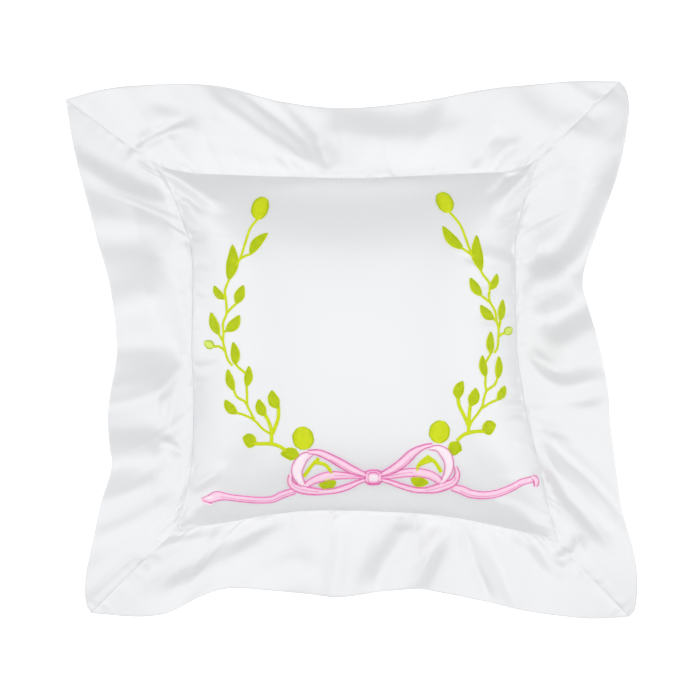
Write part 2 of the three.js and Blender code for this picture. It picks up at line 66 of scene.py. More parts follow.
EDGE = {
    "top": [(-170.3, 149.5, 5), (-149.5, 154.5, 7), (-125.5, 156.5, 11), (-99, 157, 14), (-72, 155, 13),
        (-42.5, 147.5, 8), (-5, 143.5, 5), (43, 147.5, 9), (77, 153.5, 12), (99.5, 156.5, 9),
        (133.5, 159.5, 8), (160.5, 160, 6)],
    "right": [(160.5, 160, 6), (164.5, 153.5, 7), (165, 139.5, 10), (158.5, 107.5, 16), (147, 75, 14),
        (137.5, 45, 6), (141, 24, 9), (147, 0, 13), (152, -24, 12), (154, -46, 9), (160.5, -92.5, 8),
        (167.5, -119, 11), (170.3, -138.5, 9), (169.5, -154.5, 6), (166, -159.5, 5)],
    "bottom": [(166, -159.5, 5), (157.5, -160, 6), (137.5, -159.7, 8), (105, -155, 12), (78.5, -149, 10),
        (52, -144, 7), (37.5, -142, 5), (19, -143.5, 8), (-6.5, -146.5, 11), (-30, -144.5, 8),
        (-62.5, -141.5, 10), (-76.5, -142, 12), (-89.5, -146.5, 12), (-102.5, -153.5, 9),
        (-113, -157.5, 8), (-129.5, -159, 6), (-155.5, -157.5, 4)],
    "left": [(-155.5, -157.5, 4), (-158, -152, 5), (-158.5, -144, 7), (-157.5, -133, 8),
        (-153, -113.5, 12), (-148, -91, 13), (-142.5, -69.5, 8), (-143.5, -56.5, 7), (-143, -33.5, 11),
        (-140.5, -13.5, 12), (-140, 2.5, 9), (-142, 22.5, 6), (-145.5, 48.5, 8), (-152, 75.5, 13),
        (-160, 102, 12), (-166, 125.5, 8), (-169, 141.5, 6), (-170.3, 149.5, 5)],
}
SIDES = ("top", "right", "bottom", "left")
PLY = 0.65  # outer face of each flange ply, from the surface between them
FRONT_RISE = 31  # crown of the front panel above the surface its seam spans
BACK_DROP = 38  # how far the back would bulge below it if nothing held it up
CROWN_POWER = 3.2  # how squarely the panels roll off towards the seam
DROOP_POWER = 1.4  # how late the flange bends down on its way out
EDGE_LIFT = 8  # how much the flange's stiffness holds up the middle of its edge
HALF_POCKET = 113  # half the pocket's mean width
FLANGE_WIDTH = 51
OVERLAP = 0.22  # each back panel passes the middle by this share of half the pocket
UNDERLAP_LIFT = 0.9  # the inner back panel clears the outer one by this
INSERT_SHARE = 0.9  # the insert's width as a share of the pocket's
INSERT_SLACK = 3.2  # how much thinner than the pocket it is, on each face
INSERT_FLOOR = 3  # the insert's underside clears the table by this
FILL_SHARE = 0.93  # the fibre's width as a share of the insert's
FILL_SLACK = 1.5  # how much thinner than the insert it is, on each face

# ---- what only the visual has: thicknesses, and how the seams mark the cloth
PANEL_CLOTH = 0.35
FLANGE_CLOTH = 0.3
MUSLIN_CLOTH = 0.4
BACKING_CLOTH = 0.3
SEAM_GAP = 0.04  # each sheet stops this far from the pocket seam
DITCH_DEPTH = 0.16  # the cloth dips this much into the pocket seam, from this far away
DITCH_WIDTH = 1.5
MITRE_DEPTH = 0.2  # the same at a mitre seam
MITRE_WIDTH = 1.1
PUCKER_START = 2.5  # puckers reach their full height this far from the seam
CORNER_CALM = 12  # a panel's puckers fade over this distance from its other sides


# ---- curves and fields
class Line:
    """A Catmull-Rom curve through points, found by share of its length."""

    def __init__(self, points, per=24):
        p = np.array(points, float)
        p = np.vstack([2 * p[0] - p[1], p, 2 * p[-1] - p[-2]])
        u = np.linspace(0, 1, per, endpoint=False)[:, None]
        parts = []
        for a, b, c, d in zip(p, p[1:], p[2:], p[3:]):
            square, cube = 2 * a - 5 * b + 4 * c - d, 3 * b - 3 * c + d - a
            parts.append(0.5 * (2 * b + (c - a) * u + square * u**2 + cube * u**3))
        self.p = np.vstack([*parts, p[-2:-1]])
        self.s = np.concatenate([[0], np.cumsum(np.linalg.norm(np.diff(self.p, axis=0), axis=1))])
        self.length = self.s[-1]

    def at(self, t):
        s = np.clip(t, 0, 1) * self.length
        return np.stack([np.interp(s, self.s, self.p[:, k]) for k in range(self.p.shape[1])], -1)

    def tangent(self, t):
        step = 0.5 / self.length
        d = self.at(np.minimum(t + step, 1)) - self.at(np.maximum(t - step, 0))
        return d / np.linalg.norm(d, axis=-1, keepdims=True)


seam = {side: Line(SEAM[side]) for side in SIDES}
edge = {side: Line(EDGE[side]) for side in SIDES}


def smooth(x, low, high):
    t = np.clip((x - low) / (high - low), 0, 1)
    return t * t * (3 - 2 * t)


def near_path(x, y, points):
    """Each point's distance from a path, positive to the left of it, and the nearest share of the path."""
    best = np.full(x.shape, 1e9)
    side = np.ones(x.shape)
    share = np.zeros(x.shape)
    p = np.array(points, float)[:, :2]
    run = np.concatenate([[0], np.cumsum(np.linalg.norm(np.diff(p, axis=0), axis=1))])
    for a, b, start in zip(p, p[1:], run):
        d = b - a
        size = np.hypot(*d)
        t = np.clip(((x - a[0]) * d[0] + (y - a[1]) * d[1]) / size**2, 0, 1)
        away = np.hypot(x - a[0] - t * d[0], y - a[1] - t * d[1])
        closer = away < best
        best = np.where(closer, away, best)
        side = np.where(closer, np.sign((y - a[1]) * d[0] - (x - a[0]) * d[1]), side)
        share = np.where(closer, (start + t * size) / run[-1], share)
    return best * side, share


def waves(s, wavelengths, seed):
    """Smooth noise along a line, about 1 high."""
    r = np.random.default_rng(seed)
    total = np.zeros(np.shape(s))
    for w in wavelengths:
        turns = s / w + r.random()
        drift = 1.7 * np.sin(2 * math.pi * (s / (w * 3.3) + r.random()))
        total += np.sin(2 * math.pi * turns + drift)
    return total / math.sqrt(len(wavelengths))


def crest(u):
    return np.exp(-(u**2))


def slope(u):
    return u * np.exp((1 - u**2) / 2)


def fold_field(x, y, folds, section=crest):
    """Height of a set of folds, each (width, height, points of its path).

    A crest's path runs along its top, or along its bottom where height is negative. A slope's path runs
    halfway down it, with the top to the left.
    """
    total = np.zeros(x.shape)
    for width, height, *points in folds:
        p = Line(points, 6).p
        reach = 4.5 * width
        low, high = p.min(0) - reach, p.max(0) + reach
        inside = (x > low[0]) & (x < high[0]) & (y > low[1]) & (y < high[1])
        if not inside.any():
            continue
        away, share = near_path(x[inside], y[inside], p)
        ends = smooth(share, 0, 0.3) * smooth(1 - share, 0, 0.3)
        total[inside] += height * section(away / width) * ends
    return total


def quads(g):
    """The faces of a grid of vertex numbers, the other way up from grid_faces."""
    return np.stack([g[:-1, :-1], g[1:, :-1], g[1:, 1:], g[:-1, 1:]], -1).reshape(-1, 4).tolist()


def grid_faces(rows, columns, flip=False, start=0):
    i = np.arange(rows * columns).reshape(rows, columns) + start
    faces = np.stack([i[:-1, :-1], i[:-1, 1:], i[1:, 1:], i[1:, :-1]], -1).reshape(-1, 4)
    return (faces[:, ::-1] if flip else faces).tolist()


# ---- folds seen in the satin, for fold_field: (width, height, points of its path)
FLANGE_FOLDS = [
    # top
    (5, 2.4, (-66, 162), (-46, 146), (-24, 124), (-8, 102)),
    (5, 1.3, (0, 162), (-6, 130), (-4, 98)),
    (3, -1.4, (-22, 126), (-12, 104)),
    (8, 1.8, (70, 172), (52, 136), (42, 104)),
    (7, 2, (-110, 122), (-80, 124), (-46, 112)),
    (4, -1.6, (70, 104), (80, 122), (93, 131)),
    (4, 1.6, (82, 104), (92, 118), (104, 124)),
    (8, 2.5, (-144, 165), (-126, 140), (-112, 118)),
    (2.6, 1.6, (-134, 109), (-121, 122), (-94, 133)),
    (2.6, -1.4, (-134, 116), (-119, 127), (-92, 138)),
    (5, 1.4, (118, 168), (138, 150), (162, 144)),
    # right
    (7, 1.2, (156, 36), (130, 32), (98, 28)),
    (7, 2.5, (158, -8), (126, -12), (98, -6)),
    (4, -1.4, (156, -34), (124, -34), (104, -28)),
    (5, 2.4, (98, -58), (118, -76), (140, -100), (158, -122)),
    (4, -2.5, (116, -126), (132, -121), (136, -108)),
    (7, 1.2, (168, 74), (140, 100), (108, 104)),
    # bottom
    (5, 2.6, (58, -96), (46, -122), (34, -156)),
    (4, -2, (64, -102), (72, -124), (86, -156)),
    (5, 2, (78, -104), (88, -126), (102, -160)),
    (4, -1.6, (94, -108), (118, -140)),
    (4, 1.6, (100, -104), (128, -138)),
    (5, 2.4, (-58, -92), (-92, -110), (-138, -128)),
    (5, 1.6, (-4, -90), (-8, -126), (-16, -160)),
    # left
    (14, -4.5, (-168, -4), (-124, 0), (-82, 6)),
    (6, 2.6, (-160, -36), (-130, -32), (-92, -18)),
    (3, -1.8, (-116, -50), (-90, -68)),
    (6, 1.4, (-162, -94), (-124, -84), (-94, -74)),
    (6, -2, (-164, -118), (-124, -100), (-98, -84)),
    (6, 2, (-174, 118), (-140, 96), (-104, 82)),
]
FLANGE_SLOPES = [
    # top
    (9, -4.6, (-96, 166), (-76, 151), (-54, 137), (-31, 121), (-8, 98)),
    (9, -1.8, (-22, 143), (6, 134), (36, 131), (80, 140)),
    (9, -1, (90, 166), (104, 150), (121, 138), (156, 130)),
    (7, -1.8, (-122, 148), (-104, 139), (-82, 132)),
    # right
    (12, 8.4, (160, 122), (150, 92), (138, 66), (122, 50), (104, 46), (88, 48)),
    (12, 5.4, (156, 32), (138, 20), (122, 9), (108, 2)),
    (3.4, 1.7, (100, -2), (110, -9), (124, -20)),
    (5, 1.4, (150, -20), (130, -27), (112, -30)),
    (6, -4.2, (96, -42), (110, -54), (124, -68), (144, -86), (162, -112)),
    # bottom
    (8, 3.8, (48, -98), (38, -116), (28, -130), (14, -156)),
    (8, -3, (-34, -92), (-50, -104), (-84, -125), (-128, -150)),
    (7, -1.8, (-64, -142), (-40, -134), (-16, -128)),
    # left
    (22, 12.5, (-184, 36), (-140, 46), (-118, 50), (-100, 53)),
    (9, -2, (-164, -18), (-138, -14), (-104, -9)),
    (14, 6, (-170, -62), (-138, -56), (-116, -54), (-98, -58)),
    (3.4, -1.5, (-96, -10), (-105, -20), (-114, -32)),
]
PANEL_FOLDS = [
    (4, 2.2, (-118, 108), (-98, 98), (-70, 80)),
    (3.4, -2.4, (-114, 104), (-98, 92), (-82, 78)),
    (4, 2, (112, 112), (98, 98), (82, 80)),
    (3.5, -1.8, (104, 106), (90, 98), (76, 84)),
    (4, 1.8, (120, -112), (100, -96), (80, -86)),
    (4, 1.8, (-104, -106), (-88, -92), (-72, -84)),
    (2.4, -1.8, (-114, 86), (-104, 84), (-94, 81)),
    (2.6, -3.2, (-112, 70), (-94, 67), (-82, 66)),
    (2.4, -1.8, (-110, 58), (-94, 53), (-78, 47)),
    (2.2, -1.8, (-108, 38), (-92, 35), (-80, 30)),
    (2.2, -1.4, (-108, 14), (-84, 13)),
    (2, -1.6, (-106, 5), (-90, -3)),
    (2.4, -3, (-108, -2), (-92, -10), (-74, -8)),
    (2.2, -1.6, (-108, -24), (-80, -18)),
    (3, 1.6, (-96, -84), (-84, -76), (-72, -66)),
    (2.6, -1.8, (-108, -78), (-88, -66)),
    (3, -1.2, (62, 55), (74, 52), (84, 52)),
    (2.6, -2.2, (114, 85), (94, 78), (84, 70)),
    (2.2, -1.8, (112, 37), (86, 34), (66, 34)),
    (2.2, -1.8, (110, 21), (86, 17), (68, 17)),
    (2, -1.6, (110, 3), (88, 6), (80, 8)),
    (2.2, -2, (112, -8), (102, -15), (92, -22)),
    (2.6, -3.2, (116, -24), (98, -29), (84, -28)),
    (2.4, -2.8, (118, -50), (100, -38), (84, -40)),
    (2.6, 1.6, (120, -64), (94, -54)),
]
PANEL_SLOPES = [
    (4.5, 2.6, (104, 46), (94, 54), (80, 57), (70, 59)),
]


# ---- surfaces
def pocket(a, b):
    """The surface the pocket seam spans: a Coons patch, with a and b from -1 to 1 across X and Y."""
    u, v = ((a + 1) / 2)[..., None], ((b + 1) / 2)[..., None]
    top, bottom = seam["top"].at(u[..., 0]), seam["bottom"].at(1 - u[..., 0])
    left, right = seam["left"].at(v[..., 0]), seam["right"].at(1 - v[..., 0])
    corners = [np.array(SEAM[side][0], float) for side in ("left", "bottom", "top", "right")]
    return ((1 - v) * bottom + v * top + (1 - u) * left + u * right - (1 - u) * (1 - v) * corners[0]
            - u * (1 - v) * corners[1] - (1 - u) * v * corners[2] - u * v * corners[3])


def crown(a, b):
    return (1 - np.abs(a) ** CROWN_POWER) * (1 - np.abs(b) ** CROWN_POWER)


def seam_distance(a, b):
    """Distance in from each side of the pocket seam, and along it, with the sides in the order of SIDES."""
    away = np.stack([1 - b, 1 - a, 1 + b, 1 + a]) * HALF_POCKET
    along = np.stack([a, -b, -a, b]) * HALF_POCKET
    return away, along


def puckers(away, along, seed):
    """Small puckers that the lockstitch draws into the satin, dying out away from the seam."""
    slant = along + away * 0.35 * waves(along, (37, 61), seed)
    small = waves(slant, (5.3, 7.9, 11.3), seed + 1) * np.exp(-away / 5.5)
    large = waves(slant, (17, 26, 41), seed + 2) * np.exp(-away / 16)
    return 0.22 * small * (1 + waves(along, (29, 53), seed + 3) * 0.5) + 0.5 * large


def sewn(z, a, b, face, seed):
    """A panel's heights with its puckers and the seam's ditch; face is 1 for the front, -1 for the back."""
    away, along = seam_distance(a, b)
    for k in range(4):
        others = np.minimum(away[(k + 1) % 4], away[(k + 3) % 4])
        height = face * puckers(away[k], along[k], seed + 10 * k)
        z += height * smooth(others, 0, CORNER_CALM) * smooth(away[k], 0, PUCKER_START)
    return z - face * DITCH_DEPTH * crest(away.min(0) / DITCH_WIDTH)


def soften(z, floor, soft):
    """Heights that level off above a floor, over a distance of about soft."""
    return floor + soft * np.log1p(np.exp(np.clip((z - floor) / soft, -40, 40)))


def front_base(a, b):
    """The front panel's middle surface before it settles."""
    p = pocket(a, b)
    inward = seam_distance(a, b)[0].min(0)
    x, y = p[..., 0], p[..., 1]
    folds = fold_field(x, y, PANEL_FOLDS) + fold_field(x, y, PANEL_SLOPES, slope)
    p[..., 2] += FRONT_RISE * crown(a, b) + folds * smooth(inward, 0, 4)
    return p


def flange_base(side, along, out):
    """The surface between a flange strip's two plies before it settles."""
    inner, outer = seam[side].at(along), edge[side].at(along)
    p = inner + (outer - inner) * out[..., None]
    edge_height = outer[..., 2] + EDGE_LIFT * (1 - (2 * along - 1) ** 4)
    z = inner[..., 2] + (edge_height - inner[..., 2]) * out**DROOP_POWER
    x, y, from_seam = p[..., 0], p[..., 1], out * FLANGE_WIDTH
    z += fold_field(x, y, FLANGE_FOLDS) * smooth(from_seam, 0, 10)
    p[..., 2] = z + fold_field(x, y, FLANGE_SLOPES, slope) * smooth(from_seam, 0, 14)
    return p


# ---- settling: Blender's cloth finds how the satin lies between the seam and the flange's edge
SIM_SIDE = 61  # points along each side of the pocket
SIM_OUT = 14  # points across the flange
SIM_SCALE = 10 * MM  # the cloth is solved at ten times life size, where Blender's defaults suit it
SIM_FRAMES = 24
SEAM_SLACK = 0.035  # how much more cloth than room there is along the seam
EDGE_SLACK = 0.002


def settle():
    """Moves of the panel's grid, and of each strip's grid, from their base shapes."""
    n = SIM_SIDE
    t = np.linspace(-1, 1, n)
    a, b = np.meshgrid(t, t)
    middle = front_base(a, b)
    index = np.arange(n * n).reshape(n, n)
    rims = {"top": index[-1, :], "right": index[::-1, -1], "bottom": index[0, ::-1], "left": index[:, 0]}
    along, out = np.meshgrid(np.linspace(0, 1, n), np.linspace(0, 1, SIM_OUT))
    strips = {side: flange_base(side, along, out) for side in SIDES}
    ids, points, count = {}, [middle.reshape(-1, 3)], n * n
    for side in SIDES:
        grid = np.zeros((SIM_OUT, n), int)
        grid[0] = rims[side]
        new = np.arange((SIM_OUT - 1) * (n - 1)).reshape(SIM_OUT - 1, n - 1) + count
        grid[1:, :-1] = new
        points.append(strips[side][1:, :-1].reshape(-1, 3))
        count += new.size
        ids[side] = grid
    for side, following in zip(SIDES, SIDES[1:] + SIDES[:1]):
        ids[side][1:, -1] = ids[following][1:, 0]
    points = np.vstack(points)
    faces = grid_faces(n, n)
    for side in SIDES:
        faces += quads(ids[side])
    # there is more cloth than room for it, most of all along the seam
    spare = np.zeros(len(points))
    spare[: n * n] = (np.maximum(np.abs(a), np.abs(b)) ** 3).ravel()
    for side in SIDES:
        spare[ids[side]] = 1 + (EDGE_SLACK / SEAM_SLACK - 1) * out

    data = bpy.data.meshes.new("settling")
    data.from_pydata((points * SIM_SCALE).tolist(), [], faces)
    obj = bpy.data.objects.new("settling", data)
    scene.collection.objects.link(obj)
    slack = obj.vertex_groups.new(name="slack")
    for i, share in enumerate(spare):
        slack.add([i], share, "REPLACE")
    fixed = np.concatenate([rims[side] for side in SIDES] + [ids[side][-1] for side in SIDES])
    for name, members in (("pins", np.unique(fixed)), ("puffed", index[1:-1, 1:-1].ravel())):
        obj.vertex_groups.new(name=name).add(members.tolist(), 1.0, "REPLACE")
    cloth = obj.modifiers.new("cloth", "CLOTH")
    c = cloth.settings
    c.quality = 6
    c.mass = 0.01
    c.tension_stiffness = c.compression_stiffness = 20
    c.shear_stiffness = c.bending_stiffness = 6
    c.tension_damping = c.compression_damping = 5
    c.air_damping = 3
    c.vertex_group_mass = "pins"
    c.pin_stiffness = 1
    c.vertex_group_shrink = "slack"
    c.shrink_min, c.shrink_max = 0, -SEAM_SLACK
    c.use_pressure = True
    c.uniform_pressure_force = 5
    c.vertex_group_pressure = "puffed"
    c.effector_weights.gravity = 0
    cloth.collision_settings.use_collision = False
    cloth.collision_settings.use_self_collision = False
    cloth.point_cache.frame_start, cloth.point_cache.frame_end = 1, SIM_FRAMES
    for frame_number in range(1, SIM_FRAMES + 1):
        scene.frame_set(frame_number)
    done = obj.evaluated_get(bpy.context.evaluated_depsgraph_get()).data
    moved = np.zeros(len(points) * 3)
    done.vertices.foreach_get("co", moved)
    moved = moved.reshape(-1, 3) / SIM_SCALE - points
    bpy.data.objects.remove(obj)
    scene.frame_set(1)
    return calm(moved[index], 3), {side: calm(moved[ids[side]], 1) for side in SIDES}


def calm(grid, times):
    """Takes out ripples as short as the grid's own spacing, and leaves its rim alone."""
    for _ in range(times):
        beside = grid[:-2, 1:-1] + grid[2:, 1:-1] + grid[1:-1, :-2] + grid[1:-1, 2:]
        inner = (grid[1:-1, 1:-1] * 4 + beside * 2
                 + grid[:-2, :-2] + grid[:-2, 2:] + grid[2:, :-2] + grid[2:, 2:]) / 16
        grid = grid.copy()
        grid[1:-1, 1:-1] = inner
    return grid


def resample(grid, u, v):
    """A grid's values at shares u along its rows and v down its columns, by Catmull-Rom."""

    def weights(at, size):
        x = np.clip(at, 0, 1) * (size - 1)
        i = np.minimum(x.astype(int), size - 2)
        f = x - i
        w = np.stack([-0.5 * f + f**2 - 0.5 * f**3, 1 - 2.5 * f**2 + 1.5 * f**3,
                      0.5 * f + 2 * f**2 - 1.5 * f**3, -0.5 * f**2 + 0.5 * f**3], -1)
        m = np.zeros((len(at), size))
        for k in range(4):
            np.add.at(m, (np.arange(len(at)), np.clip(i + k - 1, 0, size - 1)), w[:, k])
        return m

    down, across = weights(v, grid.shape[0]), weights(u, grid.shape[1])
    return np.einsum("ri,cj,ijk->rck", down, across, grid, optimize=True)


def front_surface(t):
    """The front panel's outer face, over a grid with the same steps both ways."""
    a, b = np.meshgrid(t, t)
    p = front_base(a, b)
    share = (t + 1) / 2
    p += resample(panel_moves, share, share)
    p[..., 2] = sewn(p[..., 2] + PLY, a, b, 1, 0)
    return p


def back_surface(a, b, lift):
    """The back's outer face, which rests on the table where it would bulge below it."""
    p = pocket(a, b)
    z = sewn(p[..., 2] - PLY - BACK_DROP * crown(a, b), a, b, -1, 100)
    soft = 1.2
    p[..., 2] = np.where(z > 8 * soft, z, soften(z, 0, soft)) + lift
    return p


def flange_surface(side, t_along, t_out, face):
    """One ply of a flange strip: face is 1 for the front and -1 for the back."""
    along, out = np.meshgrid(t_along, t_out)
    p = flange_base(side, along, out) + resample(strip_moves[side], t_along, t_out)
    from_seam, from_edge = out * FLANGE_WIDTH, (1 - out) * FLANGE_WIDTH
    x, y, z = p[..., 0], p[..., 1], p[..., 2].copy()
    seed = 200 + 10 * SIDES.index(side)
    from_mitre = np.full(z.shape, np.inf)
    for end in (0, 1):
        inside, outside = seam[side].at(np.float64(end)), edge[side].at(np.float64(end))
        away, share = near_path(x, y, [inside, outside])
        away = np.abs(away)
        from_mitre = np.minimum(from_mitre, away)
        z -= MITRE_DEPTH * crest(away / MITRE_WIDTH) * face
        gathers = 0.35 * waves(share * 70, (7, 11, 17), seed + 5)
        z += gathers * np.exp(-away / 5) * smooth(away, 0, 2)
    gathered = smooth(from_seam, 0, PUCKER_START) * smooth(from_mitre, 0, 6)
    z += 1.3 * puckers(from_seam, along * seam[side].length, seed) * gathered
    # the turned edge is round, and the seam allowance inside lifts the cloth beside the seam
    rim = np.sqrt(np.clip(1 - np.clip(1 - from_edge / 1.3, 0, 1) ** 2, 0, 1))
    z += face * (PLY * (0.06 + 0.94 * rim))
    z -= face * DITCH_DEPTH * crest(from_seam / DITCH_WIDTH)
    z += face * 0.2 * crest((from_seam - 2.6) / 1.6)
    p[..., 2] = np.maximum(z, 0.3)
    return p


# ---- meshes
def mesh(name, points, faces, material):
    data = bpy.data.meshes.new(name)
    data.from_pydata((np.asarray(points) * MM).tolist(), [], faces)
    data.update()
    data.shade_smooth()
    obj = bpy.data.objects.new(name, data)
    scene.collection.objects.link(obj)
    data.materials.append(material)
    return obj


def piece(obj, node):
    """Hangs a piece on the root body, which it rides on, and hides the CAD node it stands for."""
    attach(obj, "root")
    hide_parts(node)
    return obj


def ply(name, p, material, node, thickness, flip=False):
    """A piece of cloth from a grid of points, with its thickness behind them."""
    obj = piece(mesh(name, p.reshape(-1, 3), grid_faces(*p.shape[:2], flip), material), node)
    m = obj.modifiers.new("thickness", "SOLIDIFY")
    m.thickness = thickness * MM
    m.offset = -1
    return obj


def edge_spaced(count, share):
    """From -1 to 1 with the steps at the ends this share of the even step."""
    t = np.linspace(-1, 1, count)
    k = (1 - share) / 2
    return t * (1 + k - k * t * t)


# ---- materials
class Finish:
    """A Principled material. Keyword names are those of sockets or settings, with _ for a space."""

    def __init__(self, name, **values):
        self.material = bpy.data.materials.new(name)
        self.material.use_nodes = True
        self.nodes, self.link = self.material.node_tree.nodes, self.material.node_tree.links.new
        self.shader = self.nodes["Principled BSDF"]
        for key, value in values.items():
            self.shader.inputs[key.replace("_", " ")].default_value = value
        self.place = self.node("TexCoord").outputs["Object"]

    def node(self, kind, **values):
        n = self.nodes.new("ShaderNode" + kind)
        for key, value in values.items():
            if key in n.bl_rna.properties:
                setattr(n, key, value)
            else:
                n.inputs[key.replace("_", " ")].default_value = value
        return n

    def noise(self, vector, scale, detail):
        cloud = self.node("TexNoise", Scale=scale, Detail=detail)
        self.link(vector, cloud.inputs["Vector"])
        return cloud.outputs["Fac"]

    def colour(self, dark, light, scale, detail):
        """Lets the colour drift between two tones, in soft clouds."""
        tone = self.node("Mix", data_type="RGBA", A=(*dark, 1), B=(*light, 1))
        self.link(self.noise(self.place, scale, detail), tone.inputs["Factor"])
        self.link(tone.outputs["Result"], self.shader.inputs["Base Color"])

    def relief(self, height, strength, distance):
        bump = self.node("Bump", Strength=strength, Distance=distance)
        self.link(height, bump.inputs["Height"])
        self.link(bump.outputs["Normal"], self.shader.inputs["Normal"])
        return self.material


def satin_material(name, dark, light):
    """Satin, with fine warp floats as long thin streaks."""
    finish = Finish(name, Roughness=0.38, Metallic=0.14, Specular_IOR_Level=0.5, Sheen_Weight=0.08,
                    Sheen_Roughness=0.4)
    finish.colour(dark, light, 9.0, 3.0)
    streaks = finish.node("Mapping", Scale=(3800, 420, 420))
    finish.link(finish.place, streaks.inputs["Vector"])
    return finish.relief(finish.noise(streaks.outputs["Vector"], 1.0, 2.0), 0.06, 0.00006)


def thread_material(name, dark, light):
    finish = Finish(name, Roughness=0.42, Specular_IOR_Level=0.2)
    finish.colour(dark, light, 260.0, 2.0)
    return finish.relief(finish.noise(finish.place, 9000.0, 1.0), 0.15, 0.00005)


def woven_material(name, colour, pitch, strength):
    """Plain weave: ribs both ways, a pitch apart."""
    finish = Finish(name, Roughness=0.85)
    finish.colour([c * 0.94 for c in colour], colour, 40.0, 4.0)
    weave = finish.node("Math", operation="MULTIPLY")
    for direction, factor in zip("XY", weave.inputs):
        ribs = finish.node("TexWave", bands_direction=direction, Scale=2 * math.pi / 20 / (pitch * MM))
        finish.link(finish.place, ribs.inputs["Vector"])
        finish.link(ribs.outputs["Fac"], factor)
    return finish.relief(weave.outputs["Value"], strength, 0.0001)


satin = satin_material("satin", (0.80, 0.81, 0.835), (0.83, 0.835, 0.84))
white_thread = thread_material("white_thread", (0.84, 0.84, 0.8), (0.9, 0.9, 0.86))
green = thread_material("green_thread", (0.37, 0.50, 0.001), (0.58, 0.68, 0.003))
light_green = thread_material("light_green_thread", (0.56, 0.66, 0.004), (0.70, 0.78, 0.012))
pale_green = thread_material("pale_green_thread", (0.62, 0.78, 0.12), (0.74, 0.86, 0.2))
pink = thread_material("pink_thread", (1.0, 0.63, 0.81), (1.0, 0.75, 0.88))
deep_pink = thread_material("deep_pink_thread", (0.70, 0.13, 0.42), (0.94, 0.32, 0.62))
pale_pink = thread_material("pale_pink_thread", (0.97, 0.80, 0.90), (1.0, 0.9, 0.95))
muslin = woven_material("muslin", (0.86, 0.84, 0.78), 0.5, 0.5)
fibre = woven_material("fibre_fill", (0.93, 0.93, 0.93), 1.7, 0.3)
backing = woven_material("stabiliser", (0.88, 0.88, 0.86), 0.8, 0.2)


# ---- cover
def front_panel():
    t = edge_spaced(217, 0.05) * (1 - SEAM_GAP / HALF_POCKET)
    p = front_surface(t)
    obj = ply("satin_front_panel", p, satin, "front_panel", PANEL_CLOTH)
    return p


HEM_WIDTH = 11
HEM_HEIGHT = 0.3


def back_panels():
    share = 1 - SEAM_GAP / HALF_POCKET
    columns = edge_spaced(161, 0.06) * share
    spans = (("upper", -OVERLAP, share, 0), ("lower", -share, OVERLAP, UNDERLAP_LIFT))
    for name, low, high, lift in spans:
        rows = low + (high - low) * (edge_spaced(131, 0.1) + 1) / 2
        a, b = np.meshgrid(columns, rows)
        p = back_surface(a, b, lift * smooth(b, -OVERLAP - 0.2, -OVERLAP - 0.05))
        from_fold = (b - low if name == "upper" else high - b) * HALF_POCKET
        stitching = 0.12 * crest((from_fold - (HEM_WIDTH - 0.5)) / 0.7)
        hem = HEM_HEIGHT * (1 - smooth(from_fold, HEM_WIDTH, HEM_WIDTH + 1)) - stitching
        p[..., 2] = np.maximum(p[..., 2] + (-hem if name == "lower" else HEM_HEIGHT - hem), 0.02)
        obj = ply(f"satin_back_{name}", p, satin, f"back_panel_{name}", PANEL_CLOTH, True)


def flange(face, word):
    along = (edge_spaced(301, 0.4) + 1) / 2
    share = SEAM_GAP / FLANGE_WIDTH
    out = share + (1 - share) * ((edge_spaced(61, 0.12) + 1) / 2)
    for side in SIDES:
        p = flange_surface(side, along, out, face)
        node = f"{word}_flange_{side}"
        obj = ply("satin_" + node, p, satin, node, FLANGE_CLOTH, face > 0)


LOCKSTITCH = 2.6  # length of one stitch
AROUND = 6  # points round the thread


def pocket_stitching():
    """The needle thread in the front's ditch and the bobbin thread in the back's."""
    turn = np.linspace(0, 2 * math.pi, AROUND, endpoint=False)
    up = np.array([0, 0, 1.0])
    for side in SIDES:
        line = seam[side]
        count = int(line.length / LOCKSTITCH * 10)
        t = np.linspace(0.004, 0.996, count)
        beat = np.abs(np.sin(math.pi * t * line.length / LOCKSTITCH)) ** 0.6
        x, y = line.tangent(t)[:, :2].T
        across = np.stack([-y, x, 0 * t], -1)
        ring = across[:, None] * np.cos(turn)[None, :, None] + up * np.sin(turn)[None, :, None]
        points, faces = [], []
        for face in (1, -1):
            centre = line.at(t)
            centre[:, 2] += face * (0.3 + 0.16 * beat)
            thread = centre[:, None] + ring * (0.09 + 0.12 * beat)[:, None, None]
            i = np.arange(count * AROUND).reshape(count, AROUND) + len(points) * count * AROUND
            points.append(thread.reshape(-1, 3))
            j = np.roll(i, -1, 1)
            faces += np.stack([i[:-1], j[:-1], j[1:], i[1:]], -1).reshape(-1, 4).tolist()
            faces += [i[0][::-1].tolist(), i[-1].tolist()]
        obj = mesh(f"lockstitch_{side}", np.vstack(points), faces, white_thread)
        piece(obj, f"pocket_stitching_{side}")


# ---- insert and backing
def lumps(a, b, seed):
    """Low swellings of stuffing seen through a cover, about 1 high."""
    return waves(a * 70 + b * 23, (31, 47), seed) * waves(b * 70 - a * 19, (37, 53), seed + 1)


def insert_shell(a, b, share, above, slack, floor, offset):
    """The upper or lower face of something inside the pocket, share of its width."""
    p = pocket(a * share, b * share)
    bulge = crown(a, b)
    if above:
        p[..., 2] += offset + (FRONT_RISE - slack) * bulge + 0.35 * lumps(a, b, 60) * bulge
        return p
    z = p[..., 2] - offset - (BACK_DROP - slack) * bulge
    p[..., 2] = soften(z, floor, 1.5)
    return p


